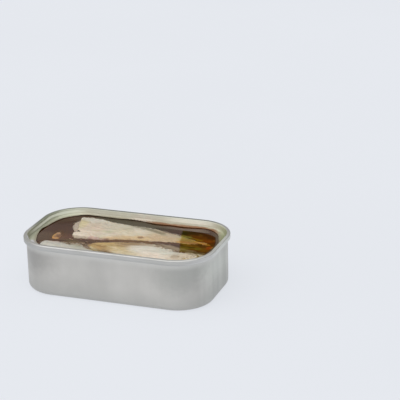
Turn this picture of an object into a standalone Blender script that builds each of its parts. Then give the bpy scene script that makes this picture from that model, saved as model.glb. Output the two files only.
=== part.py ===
"""Opened sardine tin: a drawn can, the seamed ring left by its pulled-off lid,
oil, and three sardines with a loose scrap standing in the oil."""

import math

import bmesh
import bpy

# Can, in metres
TIN_LENGTH = 0.104
TIN_WIDTH = 0.060
TIN_HEIGHT = 0.028
RIM_CORNER = 0.020
SHEET = 0.0003
GAP = 0.0003
CORNER_STEPS = 8

# Wall and base of the can
SEAM_OVERHANG = 0.0014
BASE_RADIUS = 0.0028
BASE_STEPS = 4
FOOT_WIDTH = 0.0018
PANEL_RISE = 0.0006
PANEL_SLOPE = 0.0012
PANEL_BEND_SHARE = 0.45

# Ring left by the lid
SEAM_HEIGHT = 0.0027
SEAM_ROUND = 0.0007
SEAM_STEPS = 4
SEAM_LIP = 0.0004
LEDGE_SHEET = 0.00024
CHUCK_LEAN = 0.0003
LEDGE_DEPTH = 0.0029
LEDGE_INSET = 0.0050
LEDGE_EASE = 0.0025
LEDGE_BEND = 0.0008

# Contents
OIL_LEVEL = 0.0245
SHOULDER_DEPTH = 0.0012
SHOULDER_SHARE = 0.8
FLANK_POWER = 2.5
BELLY_POWER = 2.3
FURROW_DEPTH = 0.0005
FURROW_SHARE = 0.2
FULL_RELIEF_WIDTH = 0.010
FLAKE_DEPTH = 0.00022
FLAKE_PITCH = 0.0075
FLAKE_SLANT = 0.006
CUT_FADE = 9
TAIL_SHARE = 0.07
END_CROWDING = 0.75
HIGHEST_WATERLINE = 0.8
HOLLOW_GROWTH = 0.00064


class Knots:
    """A smooth curve through (place, value) pairs given in millimetres."""

    def __init__(self, *pairs):
        self.places = [p[0] * 0.001 for p in pairs]
        self.values = [p[1] * 0.001 for p in pairs]
        self.slopes = []
        last = len(pairs) - 1
        for i in range(len(pairs)):
            a = max(i - 1, 0)
            b = min(i + 1, last)
            run = self.places[b] - self.places[a]
            self.slopes.append((self.values[b] - self.values[a]) / run)

    def at(self, place):
        place = min(max(place, self.places[0]), self.places[-1])
        i = 0
        while i < len(self.places) - 2 and place > self.places[i + 1]:
            i += 1
        run = self.places[i + 1] - self.places[i]
        t = (place - self.places[i]) / run
        rise = t * t * (3 - 2 * t)
        value = self.values[i] * (1 - rise) + self.values[i + 1] * rise
        value += run * t * (1 - t) ** 2 * self.slopes[i]
        value -= run * t * t * (1 - t) * self.slopes[i + 1]
        return value


# Each fish: its edges in plan at the oil's surface, then its top and underside.
REAR_FISH = {
    "back": Knots(
        (-35, 19), (-30, 21.6), (-23, 20.3), (-16, 18.8), (-11, 18.1), (-6, 17.9), (0, 17.6),
        (5, 16.7), (11, 15.4), (18, 13.5), (25, 11.4), (32, 9), (39, 6.4), (45, 4.4),
    ),
    "front": Knots(
        (-35, -7.2), (-27, -7.7), (-21, -6.9), (-14, -6.6), (-8.5, -4.7), (-2.5, -3), (5, -1.6),
        (9, -0.7), (15, -0.1), (23, 0.6), (32, 1.1), (38, 1.5), (45, 1.6),
    ),
    "top": Knots(
        (-35, 26.9), (-26, 27), (-8, 26.8), (8, 26.3),
        (24, 25.6), (38, 25.1), (45, 24.8),
    ),
    "under": Knots((-35, 13.5), (-20, 12), (0, 13.5), (20, 17), (38, 21.5), (45, 23.4)),
    "start": -0.033,
    "end": 0.0445,
    "round": 0.03,
}
FRONT_FISH = {
    "back": Knots(
        (-17.2, -14.6), (-15.4, -12.4), (-13, -10.4), (-8, -8.2), (1, -5.8), (9, -4.3),
        (15, -4), (21, -5), (28, -8.6), (33, -10.4), (38, -9.8), (45, -11),
    ),
    "front": Knots(
        (-17.2, -15.2), (-14.6, -16.8), (-11.4, -18.6), (-6, -20.2), (0, -21.2),
        (6, -22.4), (14, -23.6), (28, -24), (38, -22), (45, -16.5),
    ),
    "top": Knots((-17.2, 25.3), (-8, 26), (8, 26.4), (24, 26.2), (38, 25.7), (45, 25.2)),
    "under": Knots((-17.2, 23), (-8, 19.5), (8, 14), (24, 12.5), (38, 13.5), (45, 16)),
    "start": 0.0445,
    "end": -0.017,
    "round": 0.06,
}
LEFT_FISH = {
    "back": Knots(
        (-43, -17.5), (-40.3, -15.2), (-37, -13.8), (-30, -14.1), (-23, -13.7), (-19, -14.4),
        (-16.8, -16), (-14.6, -18.2), (-11, -20), (-5, -21.8), (3, -23.4),
    ),
    "front": Knots((-43, -19.6), (-39, -21.9), (-30, -24.6), (-16, -24.9), (-8, -24.8), (3, -24.2)),
    "top": Knots((-43, 25), (-38, 25.8), (-28, 25.7), (-18, 25.6), (-10, 25.3), (-3, 25), (3, 24.5)),
    "under": Knots((-43, 15), (-36, 12.5), (-20, 13), (-8, 16.5), (3, 21)),
    "start": -0.0412,
    "end": 0.0026,
    "round": 0.06,
}
SCRAP = {
    "back": Knots((-39.4, -4.6), (-37.8, -1.8), (-35.2, -2.8), (-32.4, -6.8)),
    "front": Knots((-39.4, -7.2), (-37.6, -10), (-35, -11), (-32.4, -9.2)),
    "top": Knots((-39.4, 25.2), (-37.6, 25.5), (-35, 25.1), (-32.4, 24.6)),
    "under": Knots((-39.4, 23.3), (-36, 22.6), (-32.4, 23.2)),
    "start": -0.0392,
    "end": -0.0326,
    "round": 0.3,
}

# Ragged cut across the rear fish: how far back each strip of flesh ends.
CUT_EDGE = Knots(
    (-6.5, 5.5), (-4.5, 3.7), (-2, 3), (0.4, 3.2), (2, 4.6), (3.6, 1.6),
    (5.5, -0.4), (8.8, -1.6), (13, -2), (17.7, -1), (20.5, 1.2),
)


def tin_outline(inset, height, ease=0.0):
    """Points of a rounded rectangle inset from the rim's outline, with eased corners."""
    half_x = TIN_LENGTH / 2 - RIM_CORNER - ease
    half_y = TIN_WIDTH / 2 - RIM_CORNER - ease
    radius = RIM_CORNER - inset + ease
    points = []
    for quarter in range(4):
        side_x = (1, -1, -1, 1)[quarter]
        side_y = (1, 1, -1, -1)[quarter]
        for step in range(CORNER_STEPS + 1):
            angle = (quarter + step / CORNER_STEPS) * math.pi / 2
            x = side_x * half_x + radius * math.cos(angle)
            y = side_y * half_y + radius * math.sin(angle)
            points.append((x, y, height))
    return points


def drawn_rings(bm, profile):
    """Draws one rounded-rectangle loop up through every point of the profile."""
    first = [bm.verts.new(p) for p in tin_outline(*profile[0])]
    count = len(first)
    loop = [bm.edges.new((first[i], first[(i + 1) % count])) for i in range(count)]
    loops = [loop]
    corners = first
    for station in profile[1:]:
        made = bmesh.ops.extrude_edge_only(bm, edges=loops[-1])
        places = tin_outline(*station)
        fresh = [g for g in made["geom"] if isinstance(g, bmesh.types.BMVert)]
        old_index = {}
        for i, vert in enumerate(corners):
            old_index[vert] = i
        ordered = [None] * count
        for vert in fresh:
            for edge in vert.link_edges:
                partner = edge.other_vert(vert)
                if partner in old_index:
                    ordered[old_index[partner]] = vert
        for i, vert in enumerate(ordered):
            vert.co = places[i]
        loop = []
        for i in range(count):
            loop.append(bm.edges.get((ordered[i], ordered[(i + 1) % count])))
        loops.append(loop)
        corners = ordered
    return loops


def rounded(centre, radius, start, finish, steps):
    """Points of an arc in the (inset, height) plane, angles in degrees."""
    points = []
    for step in range(steps + 1):
        angle = math.radians(start + (finish - start) * step / steps)
        points.append((centre[0] + radius * math.cos(angle), centre[1] + radius * math.sin(angle)))
    return points


def place(name, bm, collection, material=None):
    bmesh.ops.recalc_face_normals(bm, faces=bm.faces)
    mesh = bpy.data.meshes.new(name)
    bm.to_mesh(mesh)
    bm.free()
    thing = bpy.data.objects.new(name, mesh)
    collection.objects.link(thing)
    if material is not None:
        mesh.materials.append(material)
    return thing


def material(name, colour, roughness, metallic):
    made = bpy.data.materials.new(name)
    made.use_nodes = True
    shader = made.node_tree.nodes["Principled BSDF"]
    shader.inputs["Base Color"].default_value = (*colour, 1.0)
    shader.inputs["Roughness"].default_value = roughness
    shader.inputs["Metallic"].default_value = metallic
    made.diffuse_color = (*colour, 1.0)
    return made


def make_tin_body(collection, finish):
    """The can drawn from one sheet: raised panel, foot, rounded edge and wall."""
    foot_inset = SEAM_OVERHANG + BASE_RADIUS
    panel_inset = foot_inset + FOOT_WIDTH + PANEL_SLOPE
    profile = [(panel_inset + PANEL_SLOPE, PANEL_RISE), (panel_inset, PANEL_RISE)]
    profile.append((panel_inset - PANEL_SLOPE / 2, PANEL_RISE * PANEL_BEND_SHARE))
    profile.append((foot_inset + FOOT_WIDTH, 0.0))
    profile += rounded((foot_inset, BASE_RADIUS), BASE_RADIUS, -90, -180, BASE_STEPS)
    wall_top = TIN_HEIGHT - 2 * SHEET - GAP
    profile.append((SEAM_OVERHANG, TIN_HEIGHT / 2))
    profile.append((SEAM_OVERHANG, wall_top))
    bm = bmesh.new()
    loops = drawn_rings(bm, profile)
    bmesh.ops.contextual_create(bm, geom=loops[0])
    body = place("tin_body", bm, collection, finish)
    sheet = body.modifiers.new("sheet", "SOLIDIFY")
    sheet.thickness = SHEET
    sheet.offset = -1.0
    sheet.use_even_offset = True
    return body


def make_lid_ring(collection, finish):
    """Seam folded over the wall's top, chuck wall and the ledge the lid tore from."""
    foot = TIN_HEIGHT - SEAM_HEIGHT
    crown = TIN_HEIGHT - SEAM_ROUND
    slot_out = SEAM_OVERHANG - GAP
    slot_in = SEAM_OVERHANG + SHEET + GAP
    slot_top = TIN_HEIGHT - 2 * SHEET
    chuck = slot_in + SHEET
    ledge = TIN_HEIGHT - LEDGE_DEPTH
    lean = chuck + CHUCK_LEAN
    profile = [(slot_out - SHEET, foot), (SHEET, foot)]
    profile.append((SHEET / 3, foot + SEAM_LIP / 3))
    profile.append((0.0, foot + SEAM_LIP))
    profile += rounded((SEAM_ROUND, crown), SEAM_ROUND, 180, 90, SEAM_STEPS)
    profile += rounded((chuck - SEAM_ROUND, crown), SEAM_ROUND, 90, 0, SEAM_STEPS)
    bend = (lean + LEDGE_BEND, ledge + LEDGE_BEND)
    profile += rounded(bend, LEDGE_BEND, -180, -90, SEAM_STEPS)
    profile.append((LEDGE_INSET, ledge, LEDGE_EASE))
    profile.append((LEDGE_INSET, ledge - LEDGE_SHEET, LEDGE_EASE))
    profile += rounded(bend, LEDGE_BEND + LEDGE_SHEET, -90, -180, SEAM_STEPS)
    profile += [(slot_in, slot_top), (slot_out, slot_top), (slot_out, foot + SHEET)]
    bm = bmesh.new()
    loops = drawn_rings(bm, profile)
    bmesh.ops.bridge_loops(bm, edges=loops[0] + loops[-1])
    return place("lid_ring", bm, collection, finish)


def flesh_point(fish, x, angle, scale, grow):
    """A point on a fish's skin, whose section is widest just under the oil's surface."""
    back = fish["back"].at(x)
    front = fish["front"].at(x)
    top = fish["top"].at(x)
    under = fish["under"].at(x)
    widest = min(OIL_LEVEL - SHOULDER_DEPTH, under + SHOULDER_SHARE * (top - under))
    rise = top - widest
    drop = widest - under
    level = min(max((OIL_LEVEL - widest) / rise, 0.0), HIGHEST_WATERLINE)
    share = (1 - level**FLANK_POWER) ** (1 / FLANK_POWER)
    half_y = (back - front) / 2 / share
    lift = math.sin(angle)
    power = 2 / FLANK_POWER if lift > 0 else 2 / BELLY_POWER
    side = math.copysign(abs(math.cos(angle)) ** power, math.cos(angle))
    height = math.copysign(abs(lift) ** power, lift) * (rise if lift > 0 else drop)
    relief = 0.0
    if lift > 0:
        narrow = min(half_y / FULL_RELIEF_WIDTH, 1.0)
        relief -= FURROW_DEPTH * narrow * math.exp(-((side / FURROW_SHARE) ** 2))
        slant = x + abs(side) * FLAKE_SLANT
        relief += FLAKE_DEPTH * narrow * math.sin(2 * math.pi * slant / FLAKE_PITCH)
    y = (back + front) / 2 + side * (half_y * scale + grow)
    z = widest + height * scale + lift * (grow + relief * scale)
    return y, z


def end_scale(u, round_share):
    """Shrinks the sections towards the two ends: round where it is cut, fine at the tail."""
    scale = 1.0
    if u < round_share:
        scale *= (1 - ((round_share - u) / round_share) ** 3) ** (1 / 3)
    tail_share = max(TAIL_SHARE, round_share)
    if u > 1 - tail_share:
        scale *= (1 - ((u - 1 + tail_share) / tail_share) ** 2) ** 0.5
    return scale


def make_fish(name, fish, collection, stations, around, finish=None, grow=0.0, cut=None):
    """Lofts a fish through sections that change from the blunt end to the tail."""
    bm = bmesh.new()
    rings = []
    start = fish["start"]
    reach = fish["end"] - start
    forward = math.copysign(1.0, reach)
    for i in range(1, stations):
        s = i / stations
        u = s * (1 - END_CROWDING) + s * s * (3 - 2 * s) * END_CROWDING
        scale = end_scale(u, fish["round"])
        x = start + reach * u
        ring = []
        for k in range(around):
            angle = 2 * math.pi * (k + 0.5) / around
            y, z = flesh_point(fish, x, angle, scale, grow)
            shift = grow * forward * (2 * u - 1)
            if cut is not None:
                shift += cut.at(y) * (1 - u) ** CUT_FADE
            ring.append(bm.verts.new((x + shift, y, z)))
        rings.append(ring)
    for near, far in zip(rings, rings[1:]):
        for k in range(around):
            n = (k + 1) % around
            bm.faces.new((near[k], near[n], far[n], far[k]))
    for ring, end, side in ((rings[0], start, -1), (rings[-1], fish["end"], 1)):
        y = sum(v.co.y for v in ring) / around
        z = sum(v.co.z for v in ring) / around
        shift = grow * forward * side
        if cut is not None and side < 0:
            shift += cut.at(y)
        tip = bm.verts.new((end + shift, y, z))
        for k in range(around):
            bm.faces.new((ring[k], ring[(k + 1) % around], tip))
    return place(name, bm, collection, finish)


def make_oil(collection, cutters, finish):
    """Oil that fills the can up to its level, cut round whatever stands in it."""
    side = SEAM_OVERHANG + SHEET + GAP
    floor = PANEL_RISE + SHEET + GAP
    bend = BASE_RADIUS - SHEET - GAP
    centre = (SEAM_OVERHANG + BASE_RADIUS, BASE_RADIUS)
    lowest = math.degrees(math.asin((BASE_RADIUS - floor) / bend))
    profile = rounded(centre, bend, -180 + lowest, -180, BASE_STEPS - 1)
    profile.append((side, OIL_LEVEL))
    bm = bmesh.new()
    loops = drawn_rings(bm, profile)
    bmesh.ops.contextual_create(bm, geom=loops[0])
    bmesh.ops.contextual_create(bm, geom=loops[-1])
    oil = place("oil", bm, collection, finish)
    for cutter in cutters:
        cut = oil.modifiers.new(cutter.name, "BOOLEAN")
        cut.operation = "DIFFERENCE"
        cut.solver = "EXACT"
        cut.object = cutter
    return oil


for old in list(bpy.data.objects):
    bpy.data.objects.remove(old)

tin_parts = bpy.data.collections.new("sardine_tin")
cutting = bpy.data.collections.new("cutters")
bpy.context.scene.collection.children.link(tin_parts)
bpy.context.scene.collection.children.link(cutting)

can_metal = material("can_metal", (0.56, 0.565, 0.57), 0.42, 0.9)
ring_metal = material("ring_metal", (0.64, 0.63, 0.54), 0.36, 0.85)
amber_oil = material("amber_oil", (0.10, 0.055, 0.02), 0.08, 0.0)
pale_flesh = material("pale_flesh", (0.62, 0.54, 0.42), 0.45, 0.0)
golden_flesh = material("golden_flesh", (0.58, 0.44, 0.25), 0.4, 0.0)
silver_flesh = material("silver_flesh", (0.62, 0.59, 0.52), 0.4, 0.0)
amber_scrap = material("amber_scrap", (0.45, 0.24, 0.07), 0.35, 0.0)

make_tin_body(tin_parts, can_metal)
make_lid_ring(tin_parts, ring_metal)

contents = (
    ("fish_rear", REAR_FISH, 26, 18, pale_flesh, CUT_EDGE),
    ("fish_front", FRONT_FISH, 24, 18, golden_flesh, None),
    ("fish_left", LEFT_FISH, 20, 16, silver_flesh, None),
    ("fish_scrap", SCRAP, 8, 12, amber_scrap, None),
)
hollows = []
for name, fish, stations, around, finish, cut in contents:
    make_fish(name, fish, tin_parts, stations, around, finish=finish, cut=cut)
    hollow = make_fish(name + "_hollow", fish, cutting, stations, around, grow=HOLLOW_GROWTH, cut=cut)
    hollow.hide_render = True
    hollow.display_type = "WIRE"
    hollows.append(hollow)
make_oil(tin_parts, hollows, amber_oil)
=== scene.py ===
"""Dresses the opened sardine tin: satin can, lacquered rim, amber oil and the fish in it."""

import math
from functools import cache

import bmesh
import bpy
import numpy as np
from mathutils import Matrix, Vector
from mathutils.bvhtree import BVHTree
from mathutils.kdtree import KDTree


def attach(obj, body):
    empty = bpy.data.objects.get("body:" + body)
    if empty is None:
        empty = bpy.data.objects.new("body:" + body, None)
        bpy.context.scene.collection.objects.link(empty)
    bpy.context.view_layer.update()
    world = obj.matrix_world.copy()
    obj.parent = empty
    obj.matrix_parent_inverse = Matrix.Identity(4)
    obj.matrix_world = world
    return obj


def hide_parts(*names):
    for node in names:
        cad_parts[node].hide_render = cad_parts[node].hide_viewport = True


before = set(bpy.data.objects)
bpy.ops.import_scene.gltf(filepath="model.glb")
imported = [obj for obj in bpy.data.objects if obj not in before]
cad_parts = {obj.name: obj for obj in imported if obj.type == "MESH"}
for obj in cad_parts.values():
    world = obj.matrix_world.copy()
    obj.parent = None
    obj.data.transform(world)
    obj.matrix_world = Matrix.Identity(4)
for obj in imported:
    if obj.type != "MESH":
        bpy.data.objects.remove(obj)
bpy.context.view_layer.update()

MM = 0.001

# Sizes of the can and rim
TIN_LENGTH = 104 * MM
TIN_WIDTH = 60 * MM
TIN_HEIGHT = 28 * MM
RIM_CORNER = 20 * MM
SHEET = 0.3 * MM
SEAM_OVERHANG = 1.4 * MM
BASE_RADIUS = 2.8 * MM
SEAM_HEIGHT = 2.7 * MM
SEAM_ROUND = 0.7 * MM
SEAM_HOLLOW = 27.4 * MM
CAN_TOP = 27.1 * MM
CHUCK_THICK = 0.9 * MM
LEDGE_HEIGHT = 25.1 * MM
LEDGE_BEND = 0.8 * MM
LEDGE_SHEET = 0.24 * MM
LEDGE_INSET = 5.0 * MM
LEDGE_EASE = 2.5 * MM

# Sizes of the oil and fish
OIL_LEVEL = 24.5 * MM
OIL_INTO_WALL = 1.55 * MM
OIL_CREEP = 0.34 * MM
SHOULDER_DEPTH = 1.2 * MM
SHOULDER_SHARE = 0.8
FLANK_POWER = 2.5
BELLY_POWER = 2.3
TAIL_SHARE = 0.07

# The clear right end of the oil starts at a slanting line across the tin; past it the oil's amber carries a
# painted reflection of warm orange surroundings.
CLEAR_FROM = 27.4 * MM
CLEAR_ALONG = 0.956
CLEAR_ACROSS = 0.294

# How far the lip's mirror image in the oil lies from the lip.
MIRROR_X = 1.8 * MM
MIRROR_Y = -5.1 * MM

# Camera, worked out from the tin's outline: angles in degrees, place in millimetres.
CAMERA_TURN = 19.741
CAMERA_HEIGHT = 19.813
CAMERA_ROLL = -1.089
CAMERA_RIGHT = 37.293
CAMERA_UP = 43.221
CAMERA_AWAY = 736.88
LENS_PIXELS = 1408.3
PICTURE_PIXELS = 400
SENSOR_WIDTH = 36.0


# Numbers that vary over a surface


def lattice(seed, size=32):
    """A block of even random numbers from -1 to 1."""
    return np.random.default_rng(seed).uniform(-1, 1, (size, size, size))


def ripple(points, spacing, seed):
    """Smooth random heights at the points, with bumps about spacing apart."""
    block = lattice(seed)
    size = block.shape[0]
    place = points / spacing
    low = np.floor(place).astype(int)
    part = place - low
    part = part * part * (3 - 2 * part)
    total = np.zeros(len(points))
    for corner in range(8):
        step = np.array([corner & 1, (corner >> 1) & 1, (corner >> 2) & 1])
        share = np.prod(np.where(step == 1, part, 1 - part), axis=1)
        i, j, k = ((low + step) % size).T
        total += share * block[i, j, k]
    return total


def layered(points, spacing, seed, layers=3):
    """Ripples on ripples, each half the spacing and a little over half the height."""
    total = np.zeros(len(points))
    for n in range(layers):
        total += ripple(points, spacing / 2**n, seed + n) * 0.55**n
    return total


def smooth_step(low, high, value):
    t = np.clip((value - low) / (high - low), 0, 1)
    return t * t * (3 - 2 * t)


class Knots:
    """A smooth curve through (place, value) pairs given in millimetres."""

    def __init__(self, *pairs):
        self.places = np.array([p[0] for p in pairs]) * MM
        self.values = np.array([p[1] for p in pairs]) * MM
        before = np.maximum(np.arange(len(pairs)) - 1, 0)
        after = np.minimum(np.arange(len(pairs)) + 1, len(pairs) - 1)
        run = self.places[after] - self.places[before]
        self.slopes = (self.values[after] - self.values[before]) / run

    def at(self, place):
        place = np.clip(place, self.places[0], self.places[-1])
        i = np.clip(np.searchsorted(self.places, place) - 1, 0, len(self.places) - 2)
        run = self.places[i + 1] - self.places[i]
        t = (place - self.places[i]) / run
        rise = t * t * (3 - 2 * t)
        value = self.values[i] * (1 - rise) + self.values[i + 1] * rise
        value = value + run * t * (1 - t) ** 2 * self.slopes[i]
        return value - run * t * t * (1 - t) * self.slopes[i + 1]


# Can and rim


def mesh_piece(name, points, faces, finish, marks=None):
    """Makes a smooth-shaded piece that rides on the tin; marks are named numbers per point."""
    mesh = bpy.data.meshes.new(name)
    mesh.from_pydata([tuple(p) for p in points], [], faces)
    for mark, values in (marks or {}).items():
        layer = mesh.attributes.new(mark, "FLOAT", "POINT")
        layer.data.foreach_set("value", np.asarray(values, dtype=np.float32))
    mesh.materials.append(finish)
    bm = bmesh.new()
    bm.from_mesh(mesh)
    bmesh.ops.recalc_face_normals(bm, faces=bm.faces)
    bm.to_mesh(mesh)
    bm.free()
    mesh.shade_smooth()
    piece = bpy.data.objects.new(name, mesh)
    bpy.context.scene.collection.objects.link(piece)
    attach(piece, "root")
    return piece


def outline(inset, ease=0.0, corner=22, long_side=30, short_side=12):
    """Plan points of a rounded rectangle inset from the rim, evenly walked round once."""
    half_x = TIN_LENGTH / 2 - RIM_CORNER - ease
    half_y = TIN_WIDTH / 2 - RIM_CORNER - ease
    radius = RIM_CORNER - inset + ease
    middles = [(half_x, half_y), (-half_x, half_y), (-half_x, -half_y), (half_x, -half_y)]
    points = []
    for quarter in range(4):
        here, ahead = middles[quarter], middles[(quarter + 1) % 4]
        for step in range(corner):
            angle = (quarter + step / corner) * math.pi / 2
            points.append((here[0] + radius * math.cos(angle), here[1] + radius * math.sin(angle)))
        angle = (quarter + 1) * math.pi / 2
        edge = (radius * math.cos(angle), radius * math.sin(angle))
        start = Vector((here[0] + edge[0], here[1] + edge[1]))
        end = Vector((ahead[0] + edge[0], ahead[1] + edge[1]))
        count = long_side if quarter % 2 == 0 else short_side
        for step in range(count):
            points.append(tuple(start.lerp(end, step / count)))
    return np.array(points)


def arc(centre, radius, start, finish, steps):
    """Profile points (inset, height) of an arc, angles in degrees."""
    points = []
    for step in range(steps + 1):
        angle = math.radians(start + (finish - start) * step / steps)
        points.append((centre[0] + radius * math.cos(angle), centre[1] + radius * math.sin(angle)))
    return points


def hoops(profile):
    """Stacks the outline at each (inset, height, ease) of the profile into one block of points."""
    rings = []
    for station in profile:
        plan = outline(station[0], station[2] if len(station) > 2 else 0.0)
        rings.append(np.column_stack([plan, np.full(len(plan), station[1])]))
    return np.array(rings)


def hoop_faces(rows, count, closed):
    """Faces between rows of count points each; closed joins the last row to the first."""
    faces = []
    for row in range(rows if closed else rows - 1):
        below, above = row * count, (row + 1) % rows * count
        for k in range(count):
            n = (k + 1) % count
            faces.append((below + k, below + n, above + n, above + k))
    return faces


def make_can(finish):
    """The drawn can, inside and out, with its foot, raised panel and rounded edge."""
    foot = SEAM_OVERHANG + BASE_RADIUS
    base = ((4.2, 0.6), (3.2, 0.6), (2.6, 0.42), (2.2, 0.12), (1.8, 0.0), (0.4, 0.0))
    outer = [(foot + inset * MM, rise * MM) for inset, rise in base]
    outer += arc((foot, BASE_RADIUS), BASE_RADIUS, -90, -180, 12)
    outer += [(SEAM_OVERHANG, z * MM) for z in (6, 10, 14, 18, 22, 25)]
    outer.append((SEAM_OVERHANG, CAN_TOP))
    inner = [(SEAM_OVERHANG + SHEET, CAN_TOP), (SEAM_OVERHANG + SHEET, BASE_RADIUS)]
    inner += arc((foot, BASE_RADIUS), BASE_RADIUS - SHEET, -180, -90, 6)
    inner += [(foot + inset * MM, rise * MM) for inset, rise in ((1.8, 0.3), (3.2, 0.9), (4.2, 0.9))]
    rings = hoops(outer + inner)
    rows, count, _ = rings.shape
    points = rings.reshape(-1, 3)
    x, y, z = points.T
    angle = np.arctan2(np.maximum(np.abs(y) - 10 * MM, 0), np.maximum(np.abs(x) - 32 * MM, 1e-9))
    bend = np.sin(2 * angle) ** 2 * smooth_step(2 * MM, 6 * MM, z) * smooth_step(27 * MM, 22 * MM, z)
    wall = smooth_step(3 * MM, 6 * MM, z) * smooth_step(26 * MM, 23 * MM, z)
    shiver = ripple(points * [1, 1, 0.12], 2.6 * MM, 5) * 0.035 * MM
    sag = ripple(points * [1, 1, 0.4], 21 * MM, 9) * 0.06 * MM
    outward = points * [1, 1, 0]
    outward /= np.linalg.norm(outward, axis=1)[:, None]
    points = points + outward * (shiver * bend + sag * wall)[:, None]
    faces = hoop_faces(rows, count, False)
    faces.append(tuple(range(count))[::-1])
    faces.append(tuple(range((rows - 1) * count, rows * count)))
    can = mesh_piece("can_shell", points, faces, finish)
    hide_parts("tin_body")


# Where the lid tore unevenly, as (x, y, reach, push inward).
LEDGE_BUMPS = (
    (-48.5, -1, 5, -1.4), (-45.5, -13, 5, 0.8), (-46, 10.5, 5, 0.5), (-34, 25, 5, -0.9),
    (-26, 25.8, 10, -0.9), (8, 24, 6.5, 1.1), (-7, 25.4, 6, -1.1), (24, 24.2, 9, 1.5),
    (36, 24.5, 6, -1.1), (45.5, 13, 4, 0.6), (49, 1, 7, -1.5), (-25, -25, 8, 0.5), (18, -25, 9, -0.5),
)


def ledge_wander(points):
    """How far the torn edge of the ledge strays inward from its even line."""
    walk = layered(points * [1, 1, 0], 9 * MM, 41, 3) * 0.1 * MM
    walk += ripple(points * [1, 1, 0], 1.1 * MM, 47) * 0.05 * MM
    for x, y, reach, push in LEDGE_BUMPS:
        far = np.hypot(points[:, 0] - x * MM, points[:, 1] - y * MM)
        walk += push * MM * np.exp(-((far / (reach * MM)) ** 2))
    return np.clip(walk, -1.35 * MM, 1.6 * MM)


def make_rim(finish):
    """Double seam, chuck wall, and the scored ledge with a burr where the lid tore away."""
    foot = TIN_HEIGHT - SEAM_HEIGHT
    crown = TIN_HEIGHT - SEAM_ROUND
    chuck = SEAM_OVERHANG + CHUCK_THICK
    hook = (
        (0.9, 0.25), (0.7, 0.05), (0.45, 0.0), (0.2, 0.06), (0.05, 0.22),
        (0.0, 0.5), (0.0, 1.0), (0.05, 1.35), (0.1, 1.55), (0.08, 1.75),
    )
    profile = [(inset * MM, foot + rise * MM) for inset, rise in hook]
    profile += arc((SEAM_ROUND, crown), SEAM_ROUND, 170, 90, 8)
    profile += arc((chuck - SEAM_ROUND, crown), SEAM_ROUND, 90, 0, 8)
    lined = len(profile) - 3
    profile += [(chuck + lean * MM, z * MM) for lean, z in ((0.08, 26.95), (0.16, 26.6), (0.24, 26.25))]
    bend = (chuck + 0.3 * MM + LEDGE_BEND, LEDGE_HEIGHT + LEDGE_BEND)
    profile += arc(bend, LEDGE_BEND, -180, -90, 10)
    ledge = ((3.75, 0.0, 0.8), (4.2, 0.04, 1.6), (4.5, 0.12, 2.1), (4.72, 0.05, 2.4))
    profile += [(inset * MM, LEDGE_HEIGHT - dip * MM, ease * MM) for inset, dip, ease in ledge]
    edge = len(profile)
    torn_edge = ((-0.1, 25.16), (0.0, 25.14), (0.03, 25.0), (0.0, 24.86))
    profile += [(LEDGE_INSET + past * MM, z * MM, LEDGE_EASE) for past, z in torn_edge]
    profile.append((4.2 * MM, LEDGE_HEIGHT - 0.26 * MM, 1.6 * MM))
    profile += arc(bend, LEDGE_BEND + LEDGE_SHEET, -90, -180, 6)
    profile += [(SEAM_OVERHANG + 0.6 * MM, SEAM_HOLLOW), (SEAM_OVERHANG - 0.3 * MM, SEAM_HOLLOW)]
    profile.append((SEAM_OVERHANG - 0.3 * MM, foot + 0.5 * MM))
    rings = hoops(profile)
    rows, count, _ = rings.shape
    points = rings.reshape(-1, 3)
    toward = -points * [1, 1, 0]
    toward /= np.linalg.norm(toward, axis=1)[:, None]
    row = np.repeat(np.arange(rows), count)
    inset = np.repeat([station[0] for station in profile], count)
    share = np.clip((inset - bend[0]) / (LEDGE_INSET - bend[0]), 0, 1)
    points = points + toward * (ledge_wander(points) * share)[:, None]
    flat = points * [1, 1, 0]
    x, y, _ = flat.T
    lip = np.isin(row, (edge, edge + 1))
    torn = 0.35 * np.exp(-(((x + 1 * MM) / (4 * MM)) ** 2)) * (y > 0)
    burr = np.maximum(ripple(flat, 2.3 * MM, 61), 0) * 0.16
    burr += np.maximum(ripple(flat, 0.9 * MM, 62), 0) * torn
    points[:, 2] += burr * MM * lip
    points[:, 2] += ripple(flat, 15 * MM, 63) * 0.05 * MM * (row > lined + 8) * (row < edge + 8)
    away = smooth_step(6 * MM, 16 * MM, y + 16 * MM * smooth_step(-30 * MM, -46 * MM, x))
    away *= smooth_step(46 * MM, 34 * MM, x) * (1 - 0.3 * smooth_step(-28 * MM, -42 * MM, x))
    crest = np.isin(row, range(lined - 9, lined - 2)) + 0.5 * np.isin(row, range(lined - 2, lined + 1))
    marks = {
        "score": np.isin(row, (edge - 2, edge - 1)),
        "lacquer": (row >= lined - 4) & (row < edge + 6),
        "chuck": (row >= lined - 4) & (row < lined + 8),
        # Where the torn lip's face and underside get painted shade.
        "torn": np.isin(row, range(edge + 2, edge + 5)),
        # Where the far side of the seam's crown gets painted shade.
        "shoulder": crest * away,
        # Where the seam's outer face gets painted shade, fading out towards the right end.
        "side": ((row > 2) & (row < 12)) * smooth_step(52 * MM, 34 * MM, x),
        "from_lip": np.where((row > edge - 8) & (row < edge + 5), np.maximum(LEDGE_INSET - inset, 0) / MM, 5),
    }
    rim = mesh_piece("seamed_rim", points, hoop_faces(rows, count, True), finish, marks)
    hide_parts("lid_ring")


# Fish


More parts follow.
